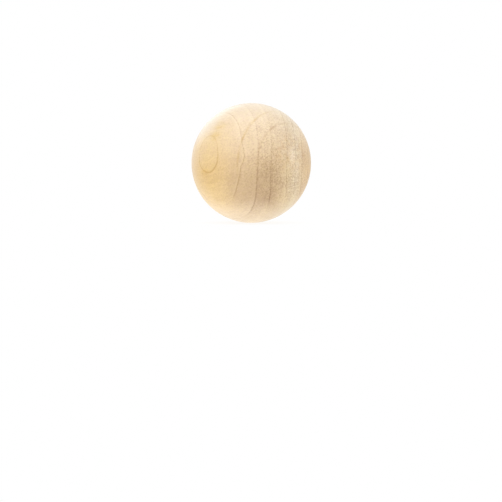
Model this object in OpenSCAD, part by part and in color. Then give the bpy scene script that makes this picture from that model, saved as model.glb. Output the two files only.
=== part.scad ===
// Turned wooden ball.
// One solid piece of pale, fine-grained hardwood, turned between centres and sanded round.
// It is a true sphere all over: it has no flat, bore, dimple or seam.
// Millimetres. The origin is the centre of the ball, +X is the axis it was turned on, and +Z is up.

/* [Ball] */
// Diameter of the finished ball
ball_d = 30; // [10:1:60]

/* [Hidden] */
// Segments round the ball where it is drawn as a mesh
$fn = 120;

// Half of a lengthwise section through the ball, on the +X side of the Y axis.
module half_section(d) {
    intersection() {
        circle(d = d);
        translate([0, -d / 2])
            square([d / 2, d]);
    }
}

// The half section swept once round the spindle, which is then laid along X.
module ball() {
    color("burlywood")
        rotate([0, 90, 0])
            rotate_extrude()
                half_section(ball_d);
}

ball();
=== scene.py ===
import math

import bpy
import numpy as np
from mathutils import Matrix, Vector


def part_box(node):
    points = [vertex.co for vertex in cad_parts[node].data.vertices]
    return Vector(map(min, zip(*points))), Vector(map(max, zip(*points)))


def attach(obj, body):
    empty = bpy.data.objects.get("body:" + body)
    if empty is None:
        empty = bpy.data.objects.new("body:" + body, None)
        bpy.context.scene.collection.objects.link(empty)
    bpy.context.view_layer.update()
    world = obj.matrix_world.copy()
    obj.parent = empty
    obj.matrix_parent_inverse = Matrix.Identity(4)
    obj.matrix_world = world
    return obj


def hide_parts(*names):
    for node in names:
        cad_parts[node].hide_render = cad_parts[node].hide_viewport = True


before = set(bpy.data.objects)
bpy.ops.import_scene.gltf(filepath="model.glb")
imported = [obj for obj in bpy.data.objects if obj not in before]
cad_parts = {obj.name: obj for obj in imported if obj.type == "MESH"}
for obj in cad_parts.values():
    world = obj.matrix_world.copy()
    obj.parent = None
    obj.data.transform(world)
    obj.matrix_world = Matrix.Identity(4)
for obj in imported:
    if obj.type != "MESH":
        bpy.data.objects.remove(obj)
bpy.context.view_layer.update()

# ---------------------------------------------------------------------------------------------
# The ball. One piece of tulipwood, turned between centres with its grain about ten degrees off
# the spindle (+X), then sanded through the grits and tumbled with a little wax. The softer early
# wood sands away a shade deeper than the hard late wood, so every growth ring stands just proud.
# ---------------------------------------------------------------------------------------------
MM = 0.001
low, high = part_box("ball")
ball_radius = (high.x - low.x) / 2

# How the blank was cut from the tree: the fibres run close to the spindle, the pith lies just
# outside the ball, and the bark was on the -Y side.
grain_swing = math.radians(-4.8)   # of the fibres from +X, about +Z
grain_rise = math.radians(8.1)     # of the fibres above level
bark_lift = math.radians(5.0)      # of the bark side above level
pith_depth = 17.9 * MM             # from the ball's centre to the pith
fibre = Vector((
    math.cos(grain_rise) * math.cos(grain_swing),
    math.cos(grain_rise) * math.sin(grain_swing),
    math.sin(grain_rise),
))
level_side = Vector((math.sin(grain_swing), -math.cos(grain_swing), 0.0))
bark = math.cos(bark_lift) * level_side + math.sin(bark_lift) * level_side.cross(fibre)
wood_axes = Matrix((fibre, bark, fibre.cross(bark)))

# Each year's growth ends at one of these radii from the pith, in a seam of hard late wood.
ring_radii = np.array([2.2, 5.2, 8.2, 11.3, 14.55, 17.25, 19.9, 24.04, 26.84, 29.8, 32.5, 35.4]) * MM
seam_width = 0.35 * MM
sanded_depth = 0.006 * MM          # of the soft wood below the hard

# For the scraper the ball was chucked again, a few degrees off the spindle. Two of its passes
# burnished a line and left a shallow flute there, at these angles from the end of its axis.
scraper_tilt = math.radians(2.7)
scraper_axis = Vector((math.cos(scraper_tilt), 0, -math.sin(scraper_tilt)))
burnish_angles = np.radians([43.5, 60.9])
flute_width = 0.4 * MM
flute_depth = 0.006 * MM


def turned_surface(rows, columns):
    """Points of the ball, row by row from its +X end to its -X end.

    A point lies at the angle `down` from +X and `around` about X. Its distance from the centre is
    the ball's radius less what sanding and the scraper took off there: sanding all of its depth
    but for a bell at every ring, and the scraper a bell at each of its lines.
    """
    down = np.pi * np.arange(1, rows) / rows
    around = 2 * np.pi * np.arange(columns) / columns
    down, around = np.meshgrid(down, around, indexing="ij")
    way = np.stack((np.cos(down), np.sin(down) * np.cos(around), np.sin(down) * np.sin(around)), -1)

    from_pith = way @ np.array(wood_axes).T * ball_radius + (0, pith_depth, 0)
    ring_radius = np.hypot(from_pith[..., 1], from_pith[..., 2])
    hard = np.exp(-((ring_radius[..., None] - ring_radii) / seam_width) ** 2).sum(-1)
    sanded_off = sanded_depth * (1 - hard)

    turned = np.arccos(way @ np.array(scraper_axis))
    off_line = (turned[..., None] - burnish_angles) * ball_radius
    scraped_off = flute_depth * np.exp(-(off_line / flute_width) ** 2).sum(-1)
    return way * (ball_radius - sanded_off - scraped_off)[..., None]


def closed_lathe_mesh(name, grid, ends):
    """A mesh from a grid of points, closed round its columns and by a fan at each of its ends."""
    rows, columns = grid.shape[:2]
    points = np.concatenate((grid.reshape(-1, 3), ends))
    corner = np.arange(rows * columns).reshape(rows, columns)
    beside = np.roll(corner, -1, axis=1)
    quads = np.stack((corner[:-1], corner[1:], beside[1:], beside[:-1]), -1).reshape(-1, 4)
    first, last = rows * columns, rows * columns + 1
    fan_first = np.stack((np.full(columns, first), corner[0], beside[0]), -1)
    fan_last = np.stack((np.full(columns, last), beside[-1], corner[-1]), -1)
    mesh = bpy.data.meshes.new(name)
    mesh.from_pydata(points, [], quads.tolist() + fan_first.tolist() + fan_last.tolist())
    mesh.polygons.foreach_set("use_smooth", np.ones(len(mesh.polygons), bool))
    mesh.update()
    return mesh


ball_grid = turned_surface(rows=250, columns=390)
ball_ends = np.array([(1, 0, 0), (-1, 0, 0)]) * (ball_radius - sanded_depth)
ball = bpy.data.objects.new("turned_ball", closed_lathe_mesh("turned_ball", ball_grid, ball_ends))
bpy.context.scene.collection.objects.link(ball)


def srgb(code):
    """A hex colour such as "E8CFA4" as linear light."""
    parts = np.array([int(code[i:i + 2], 16) for i in (0, 2, 4)]) / 255
    linear = np.where(parts <= 0.04045, parts / 12.92, ((parts + 0.055) / 1.055) ** 2.4)
    return (*linear.tolist(), 1.0)


def add_node(tree, kind, inputs=None, stops=None, **settings):
    """Add a node with its settings, link or set its inputs, and place a ramp's colour stops."""
    node = tree.nodes.new("ShaderNode" + kind)
    for name, value in settings.items():
        setattr(node, name, value)
    for socket, value in (inputs or {}).items():
        if isinstance(value, bpy.types.NodeSocket):
            tree.links.new(value, node.inputs[socket])
        else:
            node.inputs[socket].default_value = value
    if stops:
        elements = node.color_ramp.elements
        for place, colour in stops[2:]:
            elements.new(place)
        for element, (place, colour) in zip(elements, stops):
            element.position, element.color = place, colour
    return node


def chart(pairs, start, end):
    """Ramp stops from pairs of a place and a number, for a ramp that runs from start to end."""
    return [((place - start) / (end - start), (number, number, number, 1.0)) for place, number in pairs]


# Millimetres that the charts cover: out from the pith, to each side across the log, and to each
# side of a ring.
pith_reach = 36.0
side_reach = 15.0
ring_reach = 2.0


class Wood:
    """What the patterns read about a point of the wood, each as a node's output."""


def point_in_wood(tree):
    """Where a point lies in the wood, in millimetres.

    mm is x along the fibres, y out from the pith towards the bark, and z sideways, across both.
    across is the same without x. fibrous has a tenth of x, so that what is drawn on it comes out
    ten times as long as it is thick. share_across goes from 0 to 1 over the charts across the log.
    """
    wood = Wood()
    wood.place = add_node(tree, "TexCoord").outputs["Object"]
    wood.mm = add_node(tree, "Mapping", {
        "Vector": wood.place,
        "Location": (0, pith_depth / MM, 0),
        "Rotation": wood_axes.to_euler(),
        "Scale": (1 / MM, 1 / MM, 1 / MM),
    }).outputs["Vector"]
    wood.along, _, wood.sideways = add_node(tree, "SeparateXYZ", {0: wood.mm}).outputs
    wood.across = add_node(tree, "VectorMath", {0: wood.mm, 1: (0, 1, 1)},
                           operation="MULTIPLY").outputs[0]
    wood.fibrous = add_node(tree, "VectorMath", {0: wood.mm, 1: (0.1, 1, 1)},
                            operation="MULTIPLY").outputs[0]
    wood.share_across = add_node(tree, "MapRange", {
        "Value": wood.sideways, "From Min": -side_reach, "From Max": side_reach,
    }).outputs[0]
    return wood


def measure_rings(tree, wood):
    """Add to the wood its distance from the pith, in millimetres, as the growth rings run.

    radius is the distance from the fibres' axis plus what the rings stray from true circles, and
    share is radius over the charts' reach. outermost rises from 0 to 1 where the outermost years
    begin, and inner falls from 1 to 0 there.
    """
    # Every ring wanders a little.
    wander_mm = 0.06
    radius = add_node(tree, "VectorMath", {0: wood.across}, operation="LENGTH").outputs["Value"]
    wave = add_node(tree, "TexNoise", {"Vector": wood.fibrous, "Scale": 1 / 6.0, "Detail": 1.0}).outputs[0]
    wander = add_node(tree, "MapRange", {
        "Value": wave, "From Min": 0.25, "From Max": 0.75, "To Min": -wander_mm, "To Max": wander_mm,
    }, clamp=False).outputs[0]
    radius = add_node(tree, "Math", {0: radius, 1: wander}, operation="ADD").outputs[0]

    # The outermost years lean a little against the rest, along the trunk and round it.
    wood.outermost = add_node(tree, "MapRange", {
        "Value": radius, "From Min": 28.0, "From Max": 32.0,
    }, interpolation_type="SMOOTHSTEP").outputs[0]
    wood.inner = add_node(tree, "MapRange", {
        "Value": radius, "From Min": 32.0, "From Max": 30.5,
    }).outputs[0]
    lean = add_node(tree, "VectorMath", {0: wood.mm, 1: (0.030, 0, -0.038)}, operation="DOT_PRODUCT")
    radius = add_node(tree, "Math", {0: lean.outputs["Value"], 1: wood.outermost, 2: radius},
                      operation="MULTIPLY_ADD").outputs[0]

    # The inner years follow a trunk that wasn't quite round: a long low swell runs round them.
    swell_length, swell_start, swell_height = 19.0, -0.41, 0.16
    swell = add_node(tree, "Math", {0: wood.sideways, 1: math.tau / swell_length, 2: swell_start},
                     operation="MULTIPLY_ADD").outputs[0]
    swell = add_node(tree, "Math", {0: swell}, operation="SINE").outputs[0]
    swell = add_node(tree, "Math", {0: swell, 1: wood.inner}, operation="MULTIPLY").outputs[0]
    radius = add_node(tree, "Math", {0: swell, 1: -swell_height, 2: radius},
                      operation="MULTIPLY_ADD").outputs[0]

    # The last of the inner years has a dent, which reaches twice as far round the log as outward.
    dent_depth, dent_middle, dent_narrowing = 0.35, (0, 29.7, 0.3), (0, 2.0, 1.0)
    off_dent = add_node(tree, "VectorMath", {0: wood.across, 1: dent_middle},
                        operation="SUBTRACT").outputs[0]
    off_dent = add_node(tree, "VectorMath", {0: off_dent, 1: dent_narrowing},
                        operation="MULTIPLY").outputs[0]
    off_dent = add_node(tree, "VectorMath", {0: off_dent}, operation="LENGTH").outputs["Value"]
    dent = add_node(tree, "MapRange", {
        "Value": off_dent, "From Min": 3.2, "From Max": 0.8, "To Max": dent_depth,
    }, interpolation_type="SMOOTHSTEP").outputs[0]
    radius = add_node(tree, "Math", {0: radius, 1: dent}, operation="ADD").outputs[0]

    # The inner rings are fretted besides, where the vessels of two years meet.
    fret_length, fret_height = 0.8, 0.05
    fret = add_node(tree, "TexNoise", {
        "Vector": wood.fibrous, "Scale": 1 / fret_length, "Detail": 1.0,
    }).outputs[0]
    fret = add_node(tree, "MapRange", {
        "Value": fret, "From Min": 0.25, "From Max": 0.75, "To Min": -fret_height, "To Max": fret_height,
    }, clamp=False).outputs[0]
    wood.radius = add_node(tree, "Math", {0: fret, 1: wood.inner, 2: radius},
                           operation="MULTIPLY_ADD").outputs[0]
    wood.share = add_node(tree, "Math", {0: wood.radius, 1: pith_reach}, operation="DIVIDE").outputs[0]


def place_by_ring(tree, wood):
    """Millimetres out from the nearest ring, as a place from 0 to 1 in a ring's chart.

    Years of growth are whole numbers at the rings. What is over a whole year, times that year's
    width, is the distance. It counts three times over in the outermost years, whose rings are thin.
    """
    ring_mm = ring_radii / MM
    all_years = len(ring_mm) + 1
    year_shares = np.arange(all_years) / all_years
    years = add_node(tree, "ValToRGB", {"Fac": wood.share},
                     stops=chart(zip((0, *ring_mm), year_shares), 0, pith_reach)).outputs["Color"]
    years = add_node(tree, "Math", {0: years, 1: all_years}, operation="MULTIPLY").outputs[0]
    nearest = add_node(tree, "Math", {0: years}, operation="ROUND").outputs[0]
    off_ring = add_node(tree, "Math", {0: years, 1: nearest}, operation="SUBTRACT").outputs[0]

    # A ramp holds numbers up to 1, so it gives a year's width in centimetres.
    width_cm = np.diff(ring_mm, prepend=0) / 10
    year_width = add_node(tree, "ValToRGB", {"Fac": wood.share},
                          stops=chart(zip((0, *ring_mm), width_cm), 0, pith_reach))
    year_width.color_ramp.interpolation = "CONSTANT"
    off_ring = add_node(tree, "Math", {0: off_ring, 1: year_width.outputs["Color"]},
                        operation="MULTIPLY").outputs[0]
    charts_per_cm = 10 / (2 * ring_reach)
    fineness = add_node(tree, "MapRange", {
        "Value": wood.outermost, "To Min": charts_per_cm, "To Max": 3 * charts_per_cm,
    }).outputs[0]
    return add_node(tree, "Math", {0: off_ring, 1: fineness, 2: 0.5}, operation="MULTIPLY_ADD").outputs[0]


def ring_boldness(tree, wood):
    """How strongly a ring shows at a point: its own sharpness, times how it fades here and there."""
    boldness = add_node(tree, "ValToRGB", {"Fac": wood.share}, stops=chart((
        (11.3, 0.6), (14.5, 0.85), (17.2, 0.75), (19.9, 0.5), (24.0, 0.48), (26.8, 0.54), (29.9, 0.64),
        (32.5, 0.26),
    ), 0, pith_reach)).outputs["Color"]

    # The lines of the middle years are browner towards one side of the log, where the wood had
    # begun to turn to heartwood.
    middle = add_node(tree, "ValToRGB", {"Fac": wood.share}, stops=chart((
        (19.8, 0.0), (22.5, 1.0), (26.9, 1.0), (29.9, 0.5), (32.0, 0.0),
    ), 0, pith_reach)).outputs["Color"]
    heart_side = add_node(tree, "ValToRGB", {"Fac": wood.share_across}, stops=chart((
        (-12.0, 0.2), (-7.5, 0.25), (-4.2, 0.38), (-0.9, 0.5), (3.0, 0.62), (5.4, 0.8), (9.0, 1.0),
    ), -side_reach, side_reach)).outputs["Color"]
    heart_side = add_node(tree, "Mix", {0: middle, 2: 0.6, 3: heart_side}).outputs[0]

    # Each line peters out on that side, so many millimetres across.
    line_ends = ((20.0, 9.3), (23.9, 11.7), (26.8, 13.8), (29.8, 9.75))
    line_end = add_node(tree, "ValToRGB", {"Fac": wood.share}, stops=chart(
        [(ring, end / side_reach) for ring, end in line_ends], 0, pith_reach)).outputs["Color"]
    line_end = add_node(tree, "Math", {0: line_end, 1: -side_reach, 2: wood.sideways},
                        operation="MULTIPLY_ADD").outputs[0]
    line_end = add_node(tree, "MapRange", {
        "Value": line_end, "From Min": 0.5, "From Max": -1.5, "To Min": 0.1, "To Max": 1.0,
    }, interpolation_type="SMOOTHSTEP").outputs[0]

    # The middle years' lines are faint in the half towards -X.
    faint_half = add_node(tree, "MapRange", {
        "Value": wood.along, "From Min": -3.0, "From Max": 1.5, "To Min": 0.3, "To Max": 1.0,
    }, interpolation_type="SMOOTHSTEP").outputs[0]
    faint_half = add_node(tree, "Mix", {0: middle, 2: 1.0, 3: faint_half}).outputs[0]

    # The outermost line is more than twice as bold on one side of the log as on the other.
    outer_line = add_node(tree, "MapRange", {
        "Value": wood.radius, "From Min": 31.0, "From Max": 32.0,
    }).outputs[0]
    bold_side = add_node(tree, "MapRange", {
        "Value": wood.sideways, "From Min": -2.0, "From Max": 3.0, "To Min": 0.9, "To Max": 2.1,
    }).outputs[0]
    bold_side = add_node(tree, "Mix", {0: outer_line, 2: 1.0, 3: bold_side}).outputs[0]

    for factor in (heart_side, line_end, faint_half, bold_side):
        boldness = add_node(tree, "Math", {0: boldness, 1: factor}, operation="MULTIPLY").outputs[0]
    return boldness


def growth_rings(tree, wood):
    """The marks of a year's end, each from 0 to 1: late_line, late_wood and pale_line.

    Each year's wood darkens a little towards its end and closes with a thin dark line of flattened
    fibres, and the next year opens pale. The outermost years show the line alone. The charts are
    in millimetres out from the ring.
    """
    by_ring = place_by_ring(tree, wood)
    boldness = ring_boldness(tree, wood)
    late_line = add_node(tree, "ValToRGB", {"Fac": by_ring}, stops=chart((
        (-0.14, 0.0), (-0.04, 0.9), (0.032, 1.0), (0.168, 0.0),
    ), -ring_reach, ring_reach)).outputs["Color"]
    late_wood = add_node(tree, "ValToRGB", {"Fac": by_ring}, stops=chart((
        (-1.36, 0.0), (-0.64, 0.3), (-0.16, 1.0), (0.04, 1.0), (0.16, 0.0),
    ), -ring_reach, ring_reach)).outputs["Color"]
    pale_line = add_node(tree, "ValToRGB", {"Fac": by_ring}, stops=chart((
        (0.08, 0.0), (0.24, 1.0), (0.44, 0.9), (1.0, 0.0),
    ), -ring_reach, ring_reach)).outputs["Color"]
    pale_line = add_node(tree, "Math", {0: pale_line, 1: wood.inner}, operation="MULTIPLY").outputs[0]
    late_wood = add_node(tree, "Math", {0: late_wood, 1: wood.inner}, operation="MULTIPLY").outputs[0]
    late_line = add_node(tree, "Math", {0: late_line, 1: boldness}, operation="MULTIPLY").outputs[0]
    late_wood = add_node(tree, "Math", {0: late_wood, 1: boldness}, operation="MULTIPLY").outputs[0]
    return late_line, late_wood, pale_line


def follow_the_tools(tree, wood):
    """Add to the wood where a point lies by the lathe.

    way is its direction from the ball's centre, and turned_mm is the millimetres over the surface
    from the end of the scraper's axis.
    """
    wood.way = add_node(tree, "VectorMath", {0: wood.place}, operation="NORMALIZE").outputs[0]
    turned = add_node(tree, "VectorMath", {0: wood.way, 1: scraper_axis},
                      operation="DOT_PRODUCT").outputs["Value"]
    turned = add_node(tree, "Math", {0: turned}, operation="ARCCOSINE").outputs[0]
    wood.turned_mm = add_node(tree, "Math", {0: turned, 1: ball_radius / MM},
                              operation="MULTIPLY").outputs[0]


def open_vessels(tree, wood, end_grain):
    """Vessels: pores 0.1 mm across and some millimetres long, drawn twice as wide so they show.

    Two in five of the cells of a Voronoi pattern hold none. A pore is deepest where it is cut across.
    """
    pore_spacing = 0.30
    vessels = add_node(tree, "TexVoronoi", {"Vector": wood.fibrous, "Scale": 1 / pore_spacing})
    chance = add_node(tree, "SeparateColor", {0: vessels.outputs["Color"]}).outputs[0]
    is_open = add_node(tree, "Math", {0: chance, 1: 0.4}, operation="GREATER_THAN").outputs[0]
    bore = add_node(tree, "MapRange", {
        "Value": vessels.outputs["Distance"], "From Min": 0.42, "From Max": 0.10,
    }, interpolation_type="SMOOTHSTEP").outputs[0]
    pores = add_node(tree, "Math", {0: bore, 1: is_open}, operation="MULTIPLY").outputs[0]
    depth = add_node(tree, "MapRange", {"Value": end_grain, "To Min": 0.4, "To Max": 1.0}).outputs[0]
    return add_node(tree, "Math", {0: pores, 1: depth}, operation="MULTIPLY").outputs[0]


def fine_grain(tree, wood, end_grain):
    """The fine figure of the wood, as one number about zero, with its fibres and scraper lines apart.

    It adds up soft noise patterns, each with a real size in millimetres, and shows most where the
    fibres are cut across, and more towards the heartwood's side.
    """
    # Layers within a year, a few cells thick, which hold all along the ball. They are drawn wider.
    layer_width = 0.5
    layer_place = add_node(tree, "CombineXYZ", {0: wood.radius, 1: wood.along})
    layer_place = add_node(tree, "VectorMath", {0: layer_place.outputs[0], 1: (1 / layer_width, 0.03, 0)},
                           operation="MULTIPLY").outputs[0]
    layers = add_node(tree, "TexNoise", {"Vector": layer_place, "Scale": 1.0, "Detail": 2.0}).outputs[0]

    # Clouds of darker and paler wood, and bundles of fibres, ten times as long as they are thick.
    cloud_size, bundle_size, fibre_size = 5.0, 0.45, 0.2
    clouds = add_node(tree, "TexNoise", {
        "Vector": wood.fibrous, "Scale": 1 / cloud_size, "Detail": 3.0,
    }).outputs[0]
    bundles = add_node(tree, "TexNoise", {
        "Vector": wood.fibrous, "Scale": 1 / bundle_size, "Detail": 2.0,
    }).outputs[0]
    fibres = add_node(tree, "TexNoise", {
        "Vector": wood.fibrous, "Scale": 1 / fibre_size, "Detail": 2.0,
    }).outputs[0]

    # Specks: sanding left the surface finely mottled, whichever way the grain runs.
    speck_size = 0.35
    specks = add_node(tree, "TexNoise", {
        "Vector": wood.mm, "Scale": 1 / speck_size, "Detail": 2.0,
    }).outputs[0]

    # Rays: thin ribbons that run out from the pith, seen as fine flecks. They are drawn thicker.
    ray_thickness = 0.2
    ray_place = add_node(tree, "VectorMath", {0: wood.mm, 1: (0.9, 0.25, 1 / ray_thickness)},
                         operation="MULTIPLY").outputs[0]
    rays = add_node(tree, "TexNoise", {"Vector": ray_place, "Scale": 1.0, "Detail": 1.0}).outputs[0]

    # The scraper's finest lines run round its axis.
    scraper_feed = 0.5
    lathe_place = add_node(tree, "CombineXYZ", {0: wood.turned_mm}).outputs[0]
    scraped = add_node(tree, "TexNoise", {
        "Vector": lathe_place, "Scale": 1 / scraper_feed, "Detail": 1.0,
    }).outputs[0]

    # Noise averages a half, so half of all the weights comes off.
    weights = (
        (clouds, 0.30), (layers, 0.10), (bundles, 0.22), (fibres, 0.10), (specks, 0.46), (rays, 0.10),
        (scraped, 0.10),
    )
    grain = -sum(weight for pattern, weight in weights) / 2
    for pattern, weight in weights:
        grain = add_node(tree, "Math", {0: pattern, 1: weight, 2: grain},
                         operation="MULTIPLY_ADD").outputs[0]
    contrast = add_node(tree, "MapRange", {"Value": end_grain, "To Min": 0.95, "To Max": 2.25}).outputs[0]
    heartward = add_node(tree, "MapRange", {
        "Value": wood.sideways, "From Min": -10.0, "From Max": 6.0, "To Min": 0.8, "To Max": 1.2,
    }).outputs[0]
    contrast = add_node(tree, "Math", {0: contrast, 1: heartward}, operation="MULTIPLY").outputs[0]
    grain = add_node(tree, "Math", {0: grain, 1: contrast}, operation="MULTIPLY").outputs[0]
    return grain, fibres, scraped


def wood_tone(tree, wood, late_line, thirsty):
    """The colour of the wood before its fine figure: each year's own, times the tints of its stains."""
    # Each year's own: fawn near the pith, cream in the middle, golden under the bark.
    tone = add_node(tree, "ValToRGB", {"Fac": wood.share}, stops=[
        (radius_mm / pith_reach, srgb(code)) for radius_mm, code in (
            (5.0, "E5C692"), (9.5, "E1BA78"), (13.9, "EBCEA1"), (16.8, "EEDAB7"), (19.5, "EBD3AA"),
            (21.6, "EBD0A8"), (23.8, "F0D4A9"), (26.8, "F2D5AB"), (29.8, "FADDB2"), (31.2, "FADBAB"),
            (32.3, "FDDCA4"), (33.0, "FEDC9C"),
        )
    ]).outputs["Color"]

    # Away from the heartwood's side, over the top of the ball, and at the very edge of that side, at its
    # bottom, the wood is whiter and greyer: partly its own paler wood, partly painted sheen where the
    # light above and below glances off. The rest of that side is yellower. Both tints are strongest
    # towards its -X end; there the painted sheen whitens the upper left.
    pale_wood_and_sheen = add_node(tree, "ValToRGB", {"Fac": wood.share_across}, stops=chart((
        (-12.9, 0.52), (-8.4, 0.3), (3.0, 0.0), (10.5, 0.0), (15.0, 0.25),
    ), -side_reach, side_reach)).outputs["Color"]
    pale_and_sheen_end = add_node(tree, "MapRange", {
        "Value": wood.along, "From Min": 5.0, "From Max": -3.0, "To Max": 0.35,
    }, interpolation_type="SMOOTHSTEP").outputs[0]
    pale_and_sheen_side = add_node(tree, "MapRange", {
        "Value": wood.sideways, "From Min": -3.0, "From Max": -9.0,
    }, interpolation_type="SMOOTHSTEP").outputs[0]
    pale_wood_and_sheen = add_node(tree, "Math", {0: pale_and_sheen_end, 1: pale_and_sheen_side, 2: pale_wood_and_sheen},
                       operation="MULTIPLY_ADD").outputs[0]
    # Mixing towards white grey: the wood's paler side, plus painted sheen on the top, upper left and
    # bottom edge.
    tone = add_node(tree, "Mix", {0: pale_wood_and_sheen, 6: tone, 7: srgb("E9E4D7")}, data_type="RGBA").outputs[2]
    yellowed = add_node(tree, "ValToRGB", {"Fac": wood.share_across}, stops=chart((
        (-0.3, 0.0), (6.0, 1.0), (9.6, 1.0), (13.2, 0.3),
    ), -side_reach, side_reach)).outputs["Color"]
    golden_end = add_node(tree, "MapRange", {
        "Value": wood.along, "From Min": 6.0, "From Max": -1.0, "To Min": 0.35, "To Max": 1.0,
    }).outputs[0]
    yellowed = add_node(tree, "Math", {0: yellowed, 1: golden_end}, operation="MULTIPLY").outputs[0]

    # The heartwood's first stain: a pale brown cloud through four of the years, fading outward.
    stain = add_node(tree, "ValToRGB", {"Fac": wood.share}, stops=chart((
        (20.5, 0.0), (24.0, 1.0), (27.5, 0.9), (30.2, 0.8), (31.7, 0.22), (33.0, 0.18),
    ), 0, pith_reach)).outputs["Color"]
    edges = ((wood.sideways, 0.0, 7.0), (wood.sideways, 14.0, 10.5), (wood.along, 0.5, 6.0))
    for value, start, stop in edges:
        edge = add_node(tree, "MapRange", {
            "Value": value, "From Min": start, "From Max": stop,
        }, interpolation_type="SMOOTHSTEP").outputs[0]
        stain = add_node(tree, "Math", {0: stain, 1: edge}, operation="MULTIPLY").outputs[0]

    # The outermost ring is olive, and three streaks of the same stain lie at its ends, in wisps.
    wisp_size = 1.2
    streak_narrowing = (0.55, 0, 0.7)
    wisps = add_node(tree, "TexNoise", {
        "Vector": wood.fibrous, "Scale": 1 / wisp_size, "Detail": 3.0,
    }).outputs[0]
    wisps = add_node(tree, "MapRange", {"Value": wisps, "From Min": 0.35, "From Max": 0.75}).outputs[0]
    olive = add_node(tree, "Math", {0: late_line, 1: wood.outermost}, operation="MULTIPLY").outputs[0]
    olive = add_node(tree, "Math", {0: olive, 1: 1.6}, operation="MULTIPLY").outputs[0]
    for along_mm, sideways_mm, strength in ((2.2, -5.2, 1.0), (2.6, -7.7, 0.8), (-1.3, 3.6, 0.6)):
        off = add_node(tree, "VectorMath", {0: wood.mm, 1: (along_mm, 0, sideways_mm)},
                       operation="SUBTRACT").outputs[0]
        off = add_node(tree, "VectorMath", {0: off, 1: streak_narrowing},
                       operation="MULTIPLY").outputs[0]
        off = add_node(tree, "VectorMath", {0: off}, operation="LENGTH").outputs["Value"]
        streak = add_node(tree, "MapRange", {
            "Value": off, "From Min": 1.3, "From Max": 0.2, "To Max": strength,
        }, interpolation_type="SMOOTHSTEP").outputs[0]
        streak = add_node(tree, "Math", {0: streak, 1: wisps}, operation="MULTIPLY").outputs[0]
        olive = add_node(tree, "Math", {0: streak, 1: wood.outermost, 2: olive},
                         operation="MULTIPLY_ADD").outputs[0]

    # The open ends of the fibres drank the most wax, and are warmer in patches.
    waxed = add_node(tree, "Math", {0: thirsty, 1: wisps}, operation="MULTIPLY").outputs[0]

    # Small clouds of yellower and pinker wood.
    blush_size = 0.9
    blush = add_node(tree, "TexNoise", {
        "Vector": wood.mm, "Scale": 1 / blush_size, "Detail": 3.0,
    }).outputs[0]
    blush = add_node(tree, "ValToRGB", {"Fac": blush}, stops=[
        (0.35, srgb("FFFFF9")), (0.65, srgb("FFFDFF")),
    ]).outputs["Color"]

    for amount, tint in (
        (yellowed, srgb("FCF8E0")), (stain, srgb("E6E1E0")), (olive, srgb("F6ECBC")),
        (waxed, srgb("F9EEDC")), (1.0, blush),
    ):
        tone = add_node(tree, "Mix", {0: amount, 6: tone, 7: tint},
                        data_type="RGBA", blend_type="MULTIPLY").outputs[2]
    return tone


def burnish(tree, wood, colour):
    """The colour with the scraper's two burnished lines rubbed into it.

    The tool rubbed hardest over the upper front of the ball, where the wood took the colour of
    honey. Each line's chart gives how hard it rubbed by the degrees up from level about the
    spindle, from the front (-Y).
    """
    lowest, highest = -45.0, 90.0
    _, back, top = add_node(tree, "SeparateXYZ", {0: wood.way}).outputs
    front = add_node(tree, "Math", {0: back, 1: -1.0}, operation="MULTIPLY").outputs[0]
    about = add_node(tree, "Math", {0: top, 1: front}, operation="ARCTAN2").outputs[0]
    about = add_node(tree, "MapRange", {
        "Value": about, "From Min": math.radians(lowest), "From Max": math.radians(highest),
    }).outputs[0]
    patch_size = 1.8
    patchy = add_node(tree, "TexNoise", {
        "Vector": wood.mm, "Scale": 1 / patch_size, "Detail": 2.0,
    }).outputs[0]
    patchy = add_node(tree, "MapRange", {
        "Value": patchy, "From Min": 0.38, "From Max": 0.62, "To Min": 0.5, "To Max": 1.0,
    }).outputs[0]

    half_width_mm = 0.52
    near_line = ((-45, 0.2), (1, 0.5), (49.5, 0.7), (59, 1.0), (67, 0.9), (75, 0.5), (90, 0.3))
    far_line = (
        (-20.5, 0.1), (1, 0.5), (14.5, 0.6), (22.5, 0.4), (28, 1.0), (36, 0.9), (44, 0.4),
        (52, 0.9), (61.5, 1.0), (68.5, 0.3), (76.5, 0.4), (90, 0.15),
    )
    for angle, burnt, pressure in zip(burnish_angles, ("EEE6DB", "EADEB8"), (near_line, far_line)):
        rubbed = add_node(tree, "ValToRGB", {"Fac": about},
                          stops=chart(pressure, lowest, highest)).outputs["Color"]
        rubbed = add_node(tree, "Math", {0: rubbed, 1: patchy}, operation="MULTIPLY").outputs[0]
        off = add_node(tree, "Math", {0: wood.turned_mm, 1: angle * ball_radius / MM},
                       operation="SUBTRACT").outputs[0]
        off = add_node(tree, "Math", {0: off}, operation="ABSOLUTE").outputs[0]
        line = add_node(tree, "MapRange", {
            "Value": off, "From Min": half_width_mm, "From Max": 0.0,
        }, interpolation_type="SMOOTHSTEP").outputs[0]
        line = add_node(tree, "Math", {0: line, 1: rubbed}, operation="MULTIPLY").outputs[0]
        colour = add_node(tree, "Mix", {0: line, 6: colour, 7: srgb(burnt)},
                          data_type="RGBA", blend_type="MULTIPLY").outputs[2]
    return colour


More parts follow.
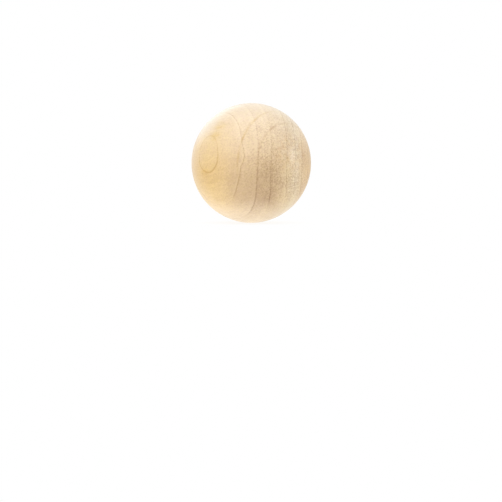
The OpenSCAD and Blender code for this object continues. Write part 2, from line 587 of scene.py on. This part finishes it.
def sanded_tulipwood():
    """Tulipwood, sanded through the grits and tumbled in wax: pale, fine and even, with a low sheen.

    The figure lies in the wood's own directions, so it is long where the surface runs with the
    fibres, and turns to rings and dots where it cuts across them. Only the scraper's marks follow
    the lathe. The fine patterns add up to one number, how brown the wood is at a point.
    """
    material = bpy.data.materials.new("sanded_tulipwood")
    material.use_nodes = True
    tree = material.node_tree
    tree.nodes.clear()
    wood = point_in_wood(tree)
    measure_rings(tree, wood)
    follow_the_tools(tree, wood)

    # End grain, where the surface cuts across the fibres: open, a shade darker and rougher. The
    # very ends of it are thirsty.
    cut_across = add_node(tree, "Math", {0: wood.along, 1: ball_radius / MM},
                          operation="DIVIDE").outputs[0]
    cut_across = add_node(tree, "Math", {0: cut_across}, operation="ABSOLUTE").outputs[0]
    end_grain = add_node(tree, "MapRange", {
        "Value": cut_across, "From Min": 0.45, "From Max": 0.95,
    }, interpolation_type="SMOOTHSTEP").outputs[0]
    thirsty = add_node(tree, "MapRange", {
        "Value": cut_across, "From Min": 0.90, "From Max": 0.99,
    }, interpolation_type="SMOOTHSTEP").outputs[0]

    late_line, late_wood, pale_line = growth_rings(tree, wood)
    pores = open_vessels(tree, wood, end_grain)
    grain, fibres, scraped = fine_grain(tree, wood, end_grain)
    brown = 0.12
    for pattern, weight in (
        (grain, 1.0), (late_line, 0.60), (late_wood, 0.11), (pale_line, -0.045), (end_grain, 0.05),
        (pores, 0.16),
    ):
        brown = add_node(tree, "Math", {0: pattern, 1: weight, 2: brown},
                         operation="MULTIPLY_ADD").outputs[0]
    brown = add_node(tree, "Math", {0: brown, 1: 1.0}, operation="MINIMUM").outputs[0]
    tone = wood_tone(tree, wood, late_line, thirsty)
    colour = add_node(tree, "Mix", {0: brown, 6: tone, 7: srgb("A37F5B")},
                      data_type="RGBA", blend_type="MULTIPLY").outputs[2]
    colour = burnish(tree, wood, colour)

    # Relief that the mesh is too coarse for: pores sunk 0.01 mm, fibres and scraper lines less.
    relief = 0.0
    for pattern, height_mm in ((pores, -0.010), (fibres, -0.003), (scraped, 0.003)):
        relief = add_node(tree, "Math", {0: pattern, 1: height_mm, 2: relief},
                          operation="MULTIPLY_ADD").outputs[0]
    bumps = add_node(tree, "Bump", {"Height": relief, "Distance": MM, "Strength": 1.0}).outputs[0]

    # Wax fills the side grain to a low sheen, and the pores stay matt.
    roughness = add_node(tree, "MapRange", {
        "Value": end_grain, "To Min": 0.44, "To Max": 0.54,
    }).outputs[0]
    roughness = add_node(tree, "Math", {0: pores, 1: 0.2, 2: roughness},
                         operation="MULTIPLY_ADD").outputs[0]
    surface = add_node(tree, "BsdfPrincipled", {
        "Base Color": colour,
        "Roughness": roughness,
        "IOR": 1.5,
        "Coat Weight": 0.35,
        "Coat Roughness": 0.15,
        "Normal": bumps,
    })
    add_node(tree, "OutputMaterial", {"Surface": surface.outputs[0]})
    return material


ball.data.materials.append(sanded_tulipwood())
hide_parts("ball")
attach(ball, "root")

# ---------------------------------------------------------------------------------------------
# The floor: a sheet of matt white card that the ball sits on. It fades to plain white away from
# the ball, and it has only a top side, so the ball can also be looked at from below.
# ---------------------------------------------------------------------------------------------
floor_radius = 0.6
floor_corners = 96

# Between these distances from the ball's centre the card's own shading gives way to plain white.
shaded_within, plain_beyond = 6 * MM, 24 * MM


def white_card():
    """Matt white card: takes the ball's soft shadow, and is plain white farther off."""
    material = bpy.data.materials.new("white_card")
    material.use_nodes = True
    tree = material.node_tree
    tree.nodes.clear()
    place = add_node(tree, "TexCoord").outputs["Object"]
    away = add_node(tree, "VectorMath", {0: place}, operation="LENGTH").outputs["Value"]
    plain = add_node(tree, "MapRange", {
        "Value": away, "From Min": shaded_within, "From Max": plain_beyond, "To Min": 0.6,
        "To Max": 1.0,
    }, interpolation_type="SMOOTHSTEP").outputs[0]
    rays = add_node(tree, "LightPath").outputs
    seen = add_node(tree, "Math", {0: rays["Is Camera Ray"], 1: rays["Is Glossy Ray"]},
                    operation="MAXIMUM").outputs[0]
    plain = add_node(tree, "Math", {0: plain, 1: seen}, operation="MULTIPLY").outputs[0]
    card = add_node(tree, "BsdfDiffuse", {"Color": srgb("FFFFFF")}).outputs[0]
    white = add_node(tree, "Emission", {"Color": srgb("FFFFFF"), "Strength": 1.0}).outputs[0]
    top = add_node(tree, "MixShader", {0: plain, 1: card, 2: white}).outputs[0]
    clear = add_node(tree, "BsdfTransparent").outputs[0]
    underside = add_node(tree, "NewGeometry").outputs["Backfacing"]
    both = add_node(tree, "MixShader", {0: underside, 1: top, 2: clear}).outputs[0]
    add_node(tree, "OutputMaterial", {"Surface": both})
    return material


turns = 2 * np.pi * np.arange(floor_corners) / floor_corners
rim = np.stack((np.cos(turns), np.sin(turns), np.zeros(floor_corners)), -1) * floor_radius
floor_mesh = bpy.data.meshes.new("floor")
floor_mesh.from_pydata(rim + (0, 0, low.z), [], [list(range(floor_corners))])
floor_mesh.materials.append(white_card())
floor = bpy.data.objects.new("floor", floor_mesh)
floor.visible_diffuse = False
floor.visible_shadow = False
bpy.context.scene.collection.objects.link(floor)

# ---------------------------------------------------------------------------------------------
# The light: an even white tent all round, soft lamps above and below the ball, and smaller ones
# behind it that brighten its edge. A window and a dimmer strip under it, both on the right, show
# only as reflections.
# ---------------------------------------------------------------------------------------------
camera_turn = math.radians(41.8)
to_right = Vector((math.cos(camera_turn), math.sin(camera_turn), 0))
to_viewer = Vector((math.sin(camera_turn), -math.cos(camera_turn), 0))
upward = Vector((0, 0, 1))
lamp_distance = 0.6


def soft_lamp(name, right, up, near, width, height, power):
    """A rectangular lamp that faces the ball from the way (right, up, near) of the camera's view."""
    way = (right * to_right + up * upward + near * to_viewer).normalized()
    light = bpy.data.lights.new(name, "AREA")
    light.shape = "RECTANGLE"
    light.size, light.size_y, light.energy = width, height, power
    lamp = bpy.data.objects.new(name, light)
    lamp.location = way * lamp_distance
    lamp.rotation_euler = way.to_track_quat("Z", "Y").to_euler()
    lamp.visible_camera = False
    bpy.context.scene.collection.objects.link(lamp)
    return lamp


soft_lamp("upper_left", -0.61, 0.61, 0.5, width=0.5, height=0.5, power=0.48)
soft_lamp("overhead", 0.0, 0.98, 0.17, width=0.5, height=0.5, power=1.02)
soft_lamp("upper_right", 0.71, 0.71, 0.0, width=0.5, height=0.5, power=0.46)
soft_lamp("below", 0.0, -1.0, 0.0, width=0.5, height=0.5, power=1.05)
soft_lamp("behind_upper_left", -0.47, 0.44, -0.765, width=0.5, height=0.3, power=0.33)
soft_lamp("behind_lower_left", -0.35, -0.61, -0.71, width=0.3, height=0.3, power=0.72)
soft_lamp("behind_below", 0.18, -0.68, -0.71, width=0.45, height=0.3, power=0.42)
right_strip = soft_lamp("right_strip", 0.93, -0.31, -0.17, width=0.15, height=0.42, power=0.95)
right_window = soft_lamp("right_window", 0.990, 0.092, 0.09, width=0.11, height=0.30, power=0.65)
for reflection in (right_strip, right_window):
    reflection.visible_diffuse = False

world = bpy.data.worlds.new("white_tent")
bpy.context.scene.world = world
world.use_nodes = True
sky = world.node_tree
sky.nodes.clear()
sky_rays = add_node(sky, "LightPath").outputs
seen = add_node(sky, "Math", {0: sky_rays["Is Camera Ray"], 1: sky_rays["Is Glossy Ray"]},
                operation="MAXIMUM").outputs[0]
strength = add_node(sky, "MapRange", {"Value": seen, "To Min": 0.80, "To Max": 1.0}).outputs[0]
tent = add_node(sky, "Background", {"Color": srgb("FFFFFF"), "Strength": strength}).outputs[0]
add_node(sky, "OutputWorld", {"Surface": tent})

# ---------------------------------------------------------------------------------------------
# The camera: a long lens level with the ball's centre, aimed a little below it, so that the ball
# sits in the upper half of the frame.
# ---------------------------------------------------------------------------------------------
frame_px = 502
ball_px = Vector((251.25, 163.11))   # the middle of the ball, from the frame's top left corner
ball_px_radius = 59.69
lens, sensor = 100.0, 36.0

px_angle = sensor / lens / frame_px   # tangent of the angle that one pixel spans
distance = ball_radius / math.sin(math.atan(ball_px_radius * px_angle))
off_right = (ball_px.x - frame_px / 2) * px_angle
off_up = (frame_px / 2 - ball_px.y) * px_angle
camera_data = bpy.data.cameras.new("camera")
camera_data.lens, camera_data.sensor_width = lens, sensor
camera_data.clip_start, camera_data.clip_end = 0.01, 5.0
camera = bpy.data.objects.new("camera", camera_data)
camera.location = to_viewer * distance
aim = -to_viewer - off_right * to_right - off_up * upward
camera.rotation_euler = aim.to_track_quat("-Z", "Y").to_euler()
bpy.context.scene.collection.objects.link(camera)
bpy.context.scene.camera = camera
bpy.context.scene.view_settings.view_transform = "Standard"
